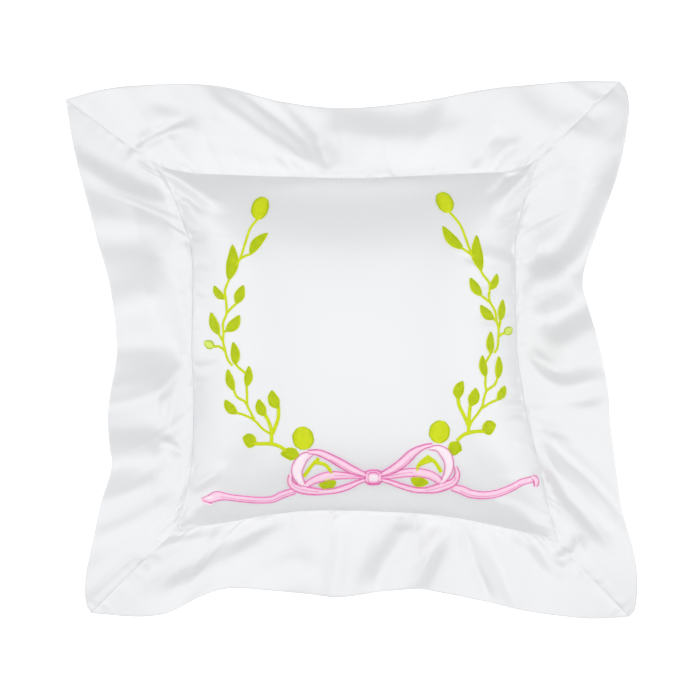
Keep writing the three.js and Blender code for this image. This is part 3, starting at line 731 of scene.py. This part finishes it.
def insert_cover():
    t = edge_spaced(121, 0.5)
    a, b = np.meshgrid(t, t)
    rim = np.minimum(1 - np.abs(a), 1 - np.abs(b)) * HALF_POCKET
    ripples = waves(a * 90, (6, 9, 14), 70) + waves(b * 90, (7, 10, 13), 71)
    gathers = 0.25 * ripples * np.exp(-rim / 6) * smooth(rim, 0, 2)
    for word, above in (("top", True), ("bottom", False)):
        p = insert_shell(a, b, INSERT_SHARE, above, INSERT_SLACK, INSERT_FLOOR, PLY)
        p[..., 2] += gathers * (1 if above else -1) * (above or p[..., 2] > INSERT_FLOOR + 2)
        node = f"insert_cover_{word}"
        obj = ply(f"muslin_insert_{word}", p, muslin, node, MUSLIN_CLOTH, not above)


def insert_fill():
    """The fibre: two faces that meet round a rim."""
    t = edge_spaced(91, 0.5)
    a, b = np.meshgrid(t, t)
    share, slack = INSERT_SHARE * FILL_SHARE, INSERT_SLACK + FILL_SLACK
    top = insert_shell(a, b, share, True, slack, 0, 0)
    low = insert_shell(a, b, share, False, slack, INSERT_FLOOR + 0.8, 0)
    tufts = 0.22 * (waves(a * 95 + b * 30, (5, 8, 13), 80) + waves(b * 95 - a * 25, (6, 9, 12), 81))
    inside = (np.abs(a) < 1) & (np.abs(b) < 1)
    top[..., 2] += (tufts - 0.3) * inside * crown(a, b)
    low[..., 2] += np.where(inside, np.maximum(0, tufts + 0.3) * crown(a, b), 0)
    n = len(t)
    ids = np.arange(n * n).reshape(n, n)
    under = quads(np.where(inside, ids + n * n, ids))
    used, faces = np.unique(grid_faces(n, n) + under, return_inverse=True)
    points = np.vstack([top.reshape(-1, 3), low.reshape(-1, 3)])[used]
    obj = mesh("fibre_fill", points, faces.reshape(-1, 4).tolist(), fibre)
    piece(obj, "insert_fill")


def stabiliser(cloth):
    """The backing behind the embroidery, trimmed with round corners."""
    t = np.linspace(-1, 1, 61)
    a, b = np.meshgrid(t, t)
    pull = 1 - 0.06 * np.abs(a * b) ** 6
    p = pocket(-0.86 + 1.76 * (a * pull + 1) / 2, -0.86 + 1.72 * (b * pull + 1) / 2)
    p = cloth.lay(p[..., 0], p[..., 1], -1.1 + 0.08 * lumps(a, b, 90))
    obj = ply("stabiliser_backing", p, backing, "embroidery_stabiliser", BACKING_CLOTH)


# ---- embroidery
PITCH = 0.42  # one thread of satin stitch beside the next
STEM_WIDTH = 1.6
STALK_WIDTH = 2.3  # the heavier stalks at the foot of each spray
LEAF = (0.16, 0.72, 1, 0.9, 0.55, 0.08)
ROUND = (0.3, 0.86, 1, 1, 0.84, 0.3)
LEAF_SPREAD = 1.1  # leaves are drawn this much wider than their CAD solids
SECTION = (-1, -0.95, -0.8, -0.55, -0.28, -0.07, 0.07, 0.28, 0.55, 0.8, 0.95, 1)  # points across a band
NARROW_SECTION = (-1, -0.9, -0.5, 0, 0.5, 0.9, 1)
NARROW = 1.2  # half widths below this take the narrow section
SUNK = 0.12  # how deep the threads' undersides lie in the cloth
MAIN, EDGING, ACCENT = 0, 1, 2  # which of its piece's threads a run is stitched in


def band(widths, *points, **look):
    return {"points": points, "widths": widths, **look}


def stem(*points, width=STEM_WIDTH, height=0.6):
    return band((width, width), *points, height=height, slant=0.9, colour=EDGING)


def stalk(*points):
    return stem(*points, width=STALK_WIDTH, height=0.7)


def leaf(base, tip, width, bend=0.0, profile=LEAF, colour=MAIN):
    """A leaf from base to tip; bend pushes its middle sideways, as a share of its length."""
    (x0, y0), (x1, y1) = base, tip
    middle = ((x0 + x1) / 2 - (y1 - y0) * bend, (y0 + y1) / 2 + (x1 - x0) * bend)
    widths = [w * width * LEAF_SPREAD for w in profile]
    return band(widths, base, middle, tip, height=0.85, slant=-1.0, vein=0.3, colour=colour)


def round_leaf(base, tip, width, bend=0.0, colour=MAIN):
    return leaf(base, tip, width, bend, ROUND, colour)


WREATH = {
    "left_upper": [
        stem((-54, 76.5), (-58.6, 70.5), (-61, 63.5), (-64.4, 53), (-68.8, 46), (-70.5, 42), (-73.4, 34.5),
             (-72.8, 28.7), (-72.5, 21), (-74.6, 15.4), (-74.3, 9.6), (-74.6, 5), (-73.7, 1), (-72.5, -3.8),
             (-70.8, -7.3), (-68.8, -9.4)),
        stem((-64.4, 52.7), (-61.2, 54.4), (-57.6, 55.6)),
        stem((-72.5, 21), (-69.6, 24.1), (-66, 27.2)),
        stem((-74.6, 4.6), (-77.5, 9.6)),
        stem((-73.8, 10), (-72, 11.4)),
        stem((-73.5, -0.8), (-76.8, 1.6), (-81.2, 1.8)),
        round_leaf((-54.4, 75.6), (-50.2, 89), 8.4, 0.06, EDGING),
        leaf((-58.6, 55.2), (-48.2, 67.6), 5, 0.08),
        leaf((-71.2, 40.4), (-69, 61.2), 6.2, -0.06),
        leaf((-73.3, 29.4), (-80, 37.4), 3.8, 0.12),
        leaf((-66.6, 26.5), (-62.4, 37.4), 5.2),
        leaf((-76.8, 8.6), (-81.8, 21.8), 4.7, 0.06),
        leaf((-72.8, 10.8), (-64.7, 20), 5.5, -0.1),
        leaf((-80, 1.4), (-86.2, 4.6), 4.4, colour=ACCENT),
    ],
    "left_lower": [
        stem((-61, -13.8), (-65, -10.7), (-67.6, -8)),
        stem((-60.4, -31), (-60.4, -25.8), (-60.6, -20.8)),
        stem((-59.8, -32.8), (-62.1, -29.9), (-66.2, -27.6), (-68.4, -23.1)),
        stem((-60.4, -30.8), (-59.8, -33.5), (-56, -40.6)),
        stem((-46.6, -48.9), (-51.1, -46.1), (-56.3, -40.9), (-62.1, -38), (-67, -36.7)),
        stalk((-46.1, -55), (-46.2, -47), (-47.6, -42.1), (-50.2, -37)),
        stalk((-45.6, -49), (-43.5, -43.8), (-42.1, -39.2), (-41.9, -33)),
        stalk((-57.6, -54.2), (-55, -54.7), (-47, -54.7), (-41.8, -56), (-37.4, -58.8)),
        leaf((-67.2, -8.9), (-68.5, 4.4), 4.7, -0.05),
        leaf((-60.6, -21.6), (-59.2, -9.4), 4.2, -0.05),
        leaf((-68.1, -24), (-71.7, -11.3), 4.2, 0.05),
        leaf((-66.2, -37.2), (-73.4, -29.2), 5, 0.1),
        leaf((-49.8, -38.6), (-53.4, -28.6), 5.3, 0.08),
        leaf((-41.9, -34), (-45.8, -23.4), 5.9, 0.1),
        round_leaf((-55.4, -54.9), (-58.8, -48.8), 7, 0.28),
    ],
    "left_broad_leaf": [round_leaf((-26.3, -58), (-29.2, -44.6), 10.6, 0, EDGING)],
    "left_side_leaf": [leaf((-30, -62), (-41, -60.4), 6.6, -0.08)],
    "left_loop_stems": [
        stalk((-27.6, -74.2), (-22.8, -67.4), (-18.6, -63)),
        stalk((-21.8, -65.4), (-15, -67), (-10.8, -72.4)),
    ],
    "left_loop_leaf": [leaf((-8.6, -77.2), (-19, -79), 5.6, 0.06)],
    "right_upper": [
        stem((57.5, 80), (62.1, 74.6), (65, 69.4), (69.1, 57.7), (69.8, 55.2), (73.1, 51.9), (74.9, 47.3),
             (77.2, 43.2), (80.4, 39.2), (81, 35.1), (80.4, 31), (81.2, 27.6), (84.2, 22.3), (85, 17.7),
             (86.2, 12.5), (86.2, 6.7), (85.6, 1.5), (83.6, -2.2)),
        stem((69.8, 55.4), (64, 59.2)),
        stem((81.2, 27.4), (75, 32)),
        stem((86.3, 11.6), (87.3, 15.4), (87.6, 18)),
        stem((85.4, 16.3), (82.6, 18.4)),
        stem((86.2, 7.3), (88.2, 9), (91, 9.9)),
        round_leaf((57.2, 79.8), (51.2, 91.6), 8.1, -0.05, EDGING),
        leaf((64.9, 58.5), (53.1, 71.8), 5.3, 0.08),
        leaf((75.8, 45.8), (73.1, 66.8), 5.8, 0.06),
        leaf((80.9, 35), (85.3, 44.4), 3.6, -0.1),
        leaf((75.8, 31.3), (69.1, 41.8), 4.7, 0.05),
        leaf((87.5, 16.8), (88.9, 29.4), 3.7),
        leaf((83.4, 17.6), (75.2, 25.9), 4.9, 0.08),
        leaf((90, 9), (94.7, 13), 4.1, colour=ACCENT),
    ],
    "right_lower": [
        stem((78.5, -7.5), (80.1, -4.6), (82, -1.4)),
        stem((78.9, -24.1), (78.1, -20.6), (78.3, -15)),
        stem((68.2, -45.8), (70.2, -41.5), (73.4, -37.4), (76.3, -32.8), (77.2, -28.7), (78.9, -24.1),
             (83.6, -20.6), (85.7, -16.2)),
        stem((76, -34.2), (81.2, -31), (86.2, -29)),
        stalk((68.1, -48.6), (68.5, -38), (69.2, -32)),
        stalk((68.2, -44.5), (65.6, -38.6), (62.7, -32.8), (61.8, -27.9)),
        stalk((78.9, -47.6), (72.5, -47.6), (65.6, -49.3), (61.3, -53)),
        leaf((81.6, -2.8), (81.5, 10.7), 3.9, 0.04),
        leaf((78.3, -16), (76.3, -3.2), 4, 0.05),
        leaf((85.5, -17.1), (86.2, -3.8), 3.7, -0.04),
        leaf((85.4, -29.5), (89.9, -21.1), 4.2, -0.06),
        leaf((69, -32.8), (72.4, -22.2), 5.8, -0.06),
        leaf((61.8, -28.7), (64.8, -18.2), 5.5, 0.1),
        round_leaf((76.6, -47.4), (80.2, -41.2), 7, -0.28),
    ],
    "right_broad_leaf": [round_leaf((50, -54.2), (52.3, -41), 10.4, 0, EDGING)],
    "right_side_leaf": [leaf((62.6, -53.6), (59.4, -61.6), 7.4, -0.1)],
    "right_loop_stems": [
        stalk((37.6, -72.6), (39.8, -66.4), (45.4, -61.6)),
        stalk((39.6, -67), (44, -65.2), (47.6, -64.2)),
        stalk((44.6, -62.2), (48.8, -65.6), (52.6, -71.4)),
    ],
    "right_loop_leaf": [leaf((34.8, -75.4), (45.2, -77.6), 5.6, -0.05)],
}
# Each band of the bow: how far it stands over those it crosses, then its widths and its middle line.
BOW = {
    "left_tail": (0, (3.5, 3.8, 3.5, 3.5, 3.5, 3.6, 5.4, 1.4), (-32.6, -82.4), (-40.4, -85.1),
        (-46.7, -87.9), (-56, -88.2), (-68.5, -87), (-78, -86), (-83.2, -87.8), (-88.2, -88.4)),
    "right_tail": (0, (3.5, 4.7, 4.4, 4.1, 4.1, 3.8, 3.6, 3.4), (58.6, -80.4), (64.5, -82), (70.5, -84.5),
        (78.6, -85.3), (86.7, -84), (94.9, -80.7), (100.3, -77.9), (107, -76.4)),
    "left_middle_band": (0.05, (2.6, 3.9, 4.7, 4.1, 2.4, 1.6), (-28.5, -81), (-22.4, -76.6),
        (-13.4, -73.5), (-5.3, -73.2), (2.3, -73.7), (9.6, -74.1)),
    "right_middle_band": (0.05, (1.6, 3.5, 4.7, 4.7, 4.4, 3), (16.4, -74.2), (25.1, -72.9), (32.1, -71.6),
        (40.3, -71.6), (48.3, -74), (54.5, -79.4)),
    "left_lower_band": (0.35, (1.8, 3.5, 4.7, 4.1, 2.9, 2.9, 3.2, 2.3, 1.5), (-35, -72.6), (-35.6, -76.7),
        (-32.7, -80.2), (-26.8, -82), (-18.1, -83), (-8.8, -82.1), (-1.2, -79.6), (4.6, -76.9),
        (9.6, -75.2)),
    "right_lower_band": (0.35, (1.5, 3.5, 4.7, 4.7, 2.9, 2.9, 2.6, 2.3, 1.5), (60.7, -68), (61.8, -72.6),
        (59.8, -77), (54.3, -79.6), (46.7, -81.7), (38.5, -81.9), (29.8, -79.6), (23.3, -77.2),
        (16.4, -75.2)),
    "left_turn": (0.1, (1.6, 5, 6.4, 6.4, 5, 3), (-22.2, -60.1), (-27.4, -62.7), (-30.6, -67.4),
        (-31.5, -71.5), (-30, -76), (-27.5, -79.5)),
    "right_turn": (0.1, (1.6, 3.5, 5.8, 5.5, 4.7, 3.4, 2.4), (45, -57.2), (50.2, -57.2), (54.8, -60.7),
        (57, -66.2), (56.3, -71.5), (54.4, -75.4), (51.8, -78.6)),
    "left_upper_band": (0.45, (1.8, 3.5, 4.1, 4.7, 4.1, 2), (-25.1, -59.2), (-19.3, -59.5),
        (-13.4, -61.8), (-6.4, -65.6), (0.6, -69.7), (9.6, -73.3)),
    "right_upper_band": (0.45, (2, 4.1, 5, 5, 2.9, 1.5), (16.4, -73), (23.9, -69.7), (30.3, -65.1),
        (36.2, -59.5), (42, -56.3), (47.3, -55)),
    "knot": (0.6, (5.4, 8.2, 8.8, 8.2, 5.4), (8.2, -74.2), (13, -74.2), (17.8, -74.2)),
}
# Creases inside the bands: where across the half width, and from and to which share of the length.
CREASES = {
    "left_tail": (0.1, 0, 0.8),
    "right_tail": (-0.25, 0.1, 0.85),
    "left_upper_band": (-0.35, 0.35, 1),
    "right_upper_band": (-0.35, 0, 0.6),
    "left_lower_band": (0.2, 0.1, 0.45),
    "right_lower_band": (-0.2, 0.1, 0.5),
    "left_middle_band": (0.1, 0.5, 1),
    "right_middle_band": (0.1, 0, 0.5),
}


class Cloth:
    """The front panel's height and slope over the plan, read off its grid of points."""

    STEP = 0.5
    REACH = 126
    BESIDE = 20.0  # height given outside the panel

    def __init__(self, p):
        tree = BVHTree.FromPolygons(p.reshape(-1, 3).tolist(), grid_faces(*p.shape[:2]))
        self.axis = np.arange(-self.REACH, self.REACH + self.STEP, self.STEP)
        self.z = np.full((len(self.axis), len(self.axis)), self.BESIDE)
        for j, y in enumerate(self.axis):
            for i, x in enumerate(self.axis):
                hit = tree.ray_cast((x, y, 100), (0, 0, -1))[0]
                if hit is not None:
                    self.z[j, i] = hit[2]

    def height(self, x, y):
        last = len(self.axis) - 1.001
        u, v = (np.clip((w + self.REACH) / self.STEP, 0, last) for w in (x, y))
        i, j = u.astype(int), v.astype(int)
        u, v, z = u - i, v - j, self.z
        below = z[j, i] * (1 - u) + z[j, i + 1] * u
        above = z[j + 1, i] * (1 - u) + z[j + 1, i + 1] * u
        return below * (1 - v) + above * v

    def lay(self, x, y, height):
        """Points that stand height off the cloth, along its normal."""
        d = 1.0
        dx = (self.height(x + d, y) - self.height(x - d, y)) / (2 * d)
        dy = (self.height(x, y + d) - self.height(x, y - d)) / (2 * d)
        size = np.sqrt(1 + dx * dx + dy * dy)
        z = self.height(x, y)
        return np.stack([x - dx / size * height, y - dy / size * height, z + height / size], -1)


class Stitching:
    """Runs of satin stitch that make one piece."""

    def __init__(self, cloth):
        self.cloth = cloth
        self.points, self.faces, self.colours = [], [], []
        self.count = 0

    def run(self, points, widths, height, slant=0.5, vein=0.0, colour=MAIN, level=0.0, pitch=PITCH):
        """Threads laid side by side across a path. slant leans them, or meets them in a V at a vein."""
        line = Line(points)
        wide = Line([(i, w) for i, w in enumerate(widths)]).p
        rows = max(int(line.length / (pitch / 4)), 12)
        s = np.linspace(0, 1, rows)
        centre, along = line.at(s), line.tangent(s)
        half = np.maximum(np.interp(s * (len(widths) - 1), wide[:, 0], wide[:, 1]), 0.35) / 2
        section = NARROW_SECTION if half.max() < NARROW else SECTION
        across, halves = np.meshgrid(section, half)
        lean = np.abs(across) if vein else across
        beat = np.cos(2 * math.pi * (s[:, None] * line.length + slant * lean * halves) / pitch)
        reach = halves * across * (1 + 0.035 * beat)
        x = centre[:, :1] - along[:, 1:] * reach
        y = centre[:, 1:] + along[:, :1] * reach
        rise = (1 - np.abs(across) ** 2.6) ** 0.8 * (height + level)
        rise += 0.055 * beat * (1 - np.abs(across) ** 6)
        if vein:
            rise -= vein * np.exp(-((across / 0.13) ** 2)) * smooth(s, 0, 0.1)[:, None]
        from_end = np.minimum(s, 1 - s)[:, None] * line.length
        rise *= np.sqrt(np.clip(from_end / 0.7, 0, 1))
        rise -= SUNK
        self.points.append(self.cloth.lay(x, y, rise).reshape(-1, 3))
        n = len(section)
        top = grid_faces(rows, n, flip=True, start=self.count)
        i = np.arange(rows) * n + self.count
        under = np.stack([i[:-1], i[1:], i[1:] + n - 1, i[:-1] + n - 1], -1)[:, ::-1].tolist()
        first, last = np.arange(n) + i[0], np.arange(n) + i[-1]
        self.faces += top + under + [first.tolist(), last[::-1].tolist()]
        self.colours += [colour] * (len(top) + len(under) + 2)
        self.count += rows * n
        return line, half

    def cord(self, x, y, level, width, colour):
        """A thin cord of slanted stitching through points."""
        self.run(list(zip(x, y)), (width, width), 0.62, slant=1.2, colour=colour, level=level, pitch=0.6)

    def outline(self, line, half, level, width, colour=EDGING, start=0.0, end=1.0, sides=(-1, 1)):
        """Cords along the edges of a band."""
        s = np.linspace(start, end, max(int(line.length * (end - start) / 2.2), 4))
        reach = np.interp(s, np.linspace(0, 1, len(half)), half)
        centre, along = line.at(s), line.tangent(s)
        for side in sides:
            x = centre[:, 0] - along[:, 1] * reach * side
            y = centre[:, 1] + along[:, 0] * reach * side
            self.cord(x, y, level, width, colour)

    def ring(self, centre, reach, level, width):
        """A cord round a rounded square."""
        turn = np.linspace(0, 2 * math.pi, 25)
        c, s = np.cos(turn), np.sin(turn)
        x = centre[0] + reach[0] * np.sign(c) * np.abs(c) ** 0.65
        y = centre[1] + reach[1] * np.sign(s) * np.abs(s) ** 0.65
        self.cord(x, y, level, width, EDGING)

    def make(self, name, node, materials):
        obj = mesh(name, np.vstack(self.points), self.faces, materials[0])
        for material in materials[1:]:
            obj.data.materials.append(material)
        obj.data.polygons.foreach_set("material_index", self.colours)
        piece(obj, node)


def sprays(cloth):
    for name, runs in WREATH.items():
        work = Stitching(cloth)
        for run in runs:
            line, half = work.run(**run)
            # A cord round each leaf's rim: on the dark green leaves it is light green thread, a painted
            # highlight for the sheen on their domed edges; on the paler leaves it is dark green.
            if "vein" in run:
                rim = EDGING if run["colour"] == MAIN else MAIN
                work.outline(line, half * 0.98, 0.12, 0.62, rim, 0.04, 0.96)
        threads = [green, light_green, pale_green]
        work.make(f"stitched_spray_{name}", f"wreath_{name}", threads)


def knot(work, level):
    """The knot's raised middle and the two cords round it."""
    work.run(((10, -74.2), (13, -74.2), (16, -74.2)), (4.4, 6, 6.2, 6, 4.4), 0.7, level=level + 0.2)
    work.ring((13, -74.2), (3.2, 3.1), level + 0.35, 0.7)
    work.ring((13, -74.2), (5, 4.3), level + 0.1, 0.6)


def left_tail_end(work):
    """The turned end: a pale hem below a drawn fold."""
    work.run(((-87.8, -88.9), (-84.8, -90.6), (-81.8, -91.6)), (1.2, 2, 1.4), 0.6, colour=ACCENT, level=0.1)
    work.run(((-87.2, -88), (-84.6, -89.6), (-81.6, -90.4)), (0.6, 0.6), 0.62, colour=EDGING, level=0.3)
    work.run(((-85.8, -87.4), (-83, -87), (-80.6, -86.4)), (1, 2.6, 0.8), 0.7, colour=ACCENT, level=0.25)


def right_tail_end(work):
    """The end, folded down."""
    fold, half = work.run(((106.4, -74.8), (109, -77.2), (108.6, -81)), (2.4, 3.2, 1.4), 0.7, level=0.2)
    work.outline(fold, half, 0.35, 0.55)
    work.run(((104, -76.4), (106.4, -76.2)), (1.6, 1.2), 0.7, colour=ACCENT, level=0.4)


def bow(cloth):
    for name, (level, widths, *points) in BOW.items():
        work = Stitching(cloth)
        colour = ACCENT if name == "knot" else MAIN
        line, half = work.run(points, widths, 0.7, slant=0.6, level=level, colour=colour)
        if name == "knot":
            knot(work, level)
        else:
            work.outline(line, half, level + 0.15, 0.52)
        if name in CREASES:
            across, start, end = CREASES[name]
            work.outline(line, half * across, level + 0.3, 0.48, EDGING, start, end, (1,))
        if name == "left_tail":
            left_tail_end(work)
        if name == "right_tail":
            right_tail_end(work)
        pale = name.endswith("turn") or name == "knot"
        threads = [pale_pink, deep_pink, pink] if pale else [pink, deep_pink, pale_pink]
        work.make(f"stitched_bow_{name}", f"bow_{name}", threads)


# ---- floor and light
FLOOR_HALF = 4000
FLOOR_DROP = 0.3  # the floor lies this far under z = 0


def stage():
    size, z = FLOOR_HALF, -FLOOR_DROP
    corners = [(-size, -size, z), (size, -size, z), (size, size, z), (-size, size, z)]
    matt = Finish("floor", Base_Color=(0.9, 0.9, 0.9, 1), Roughness=0.9, Specular_IOR_Level=0.1,
                  Emission_Color=(1, 1, 1, 1), Emission_Strength=0.6)
    floor = mesh("floor", corners, [(0, 1, 2, 3)], matt.material)


def light(name, place, size, power):
    """An area light that faces the pillow."""
    data = bpy.data.lights.new(name, "AREA")
    data.shape = "RECTANGLE"
    data.size, data.size_y = size
    data.energy = power
    obj = bpy.data.objects.new(name, data)
    scene.collection.objects.link(obj)
    x, y, z = place
    obj.location = place
    obj.rotation_euler = (math.atan2(math.hypot(x, y), z), 0, math.atan2(-y, -x) - math.pi / 2)


def lights():
    light("softbox_left", (-1.5, 0.1, 0.9), (1.6, 1.5), 8.5)
    light("softbox_right", (1.5, 0.1, 0.9), (1.6, 1.5), 8.5)
    light("overhead", (0, -0.15, 1.9), (2.4, 4.2), 33)
    world = bpy.data.worlds.new("world")
    world.use_nodes = True
    sky = world.node_tree.nodes["Background"].inputs
    sky["Color"].default_value = (1, 1, 1, 1)
    sky["Strength"].default_value = 0.34
    scene.world = world
    view = scene.view_settings
    view.view_transform = "Standard"
    view.look = "None"
    view.exposure = 0
    view.gamma = 1


panel_moves, strip_moves = settle()
panel = Cloth(front_panel())
back_panels()
flange(1, "front")
flange(-1, "back")
pocket_stitching()
insert_cover()
insert_fill()
stabiliser(panel)
sprays(panel)
bow(panel)
stage()
lights()
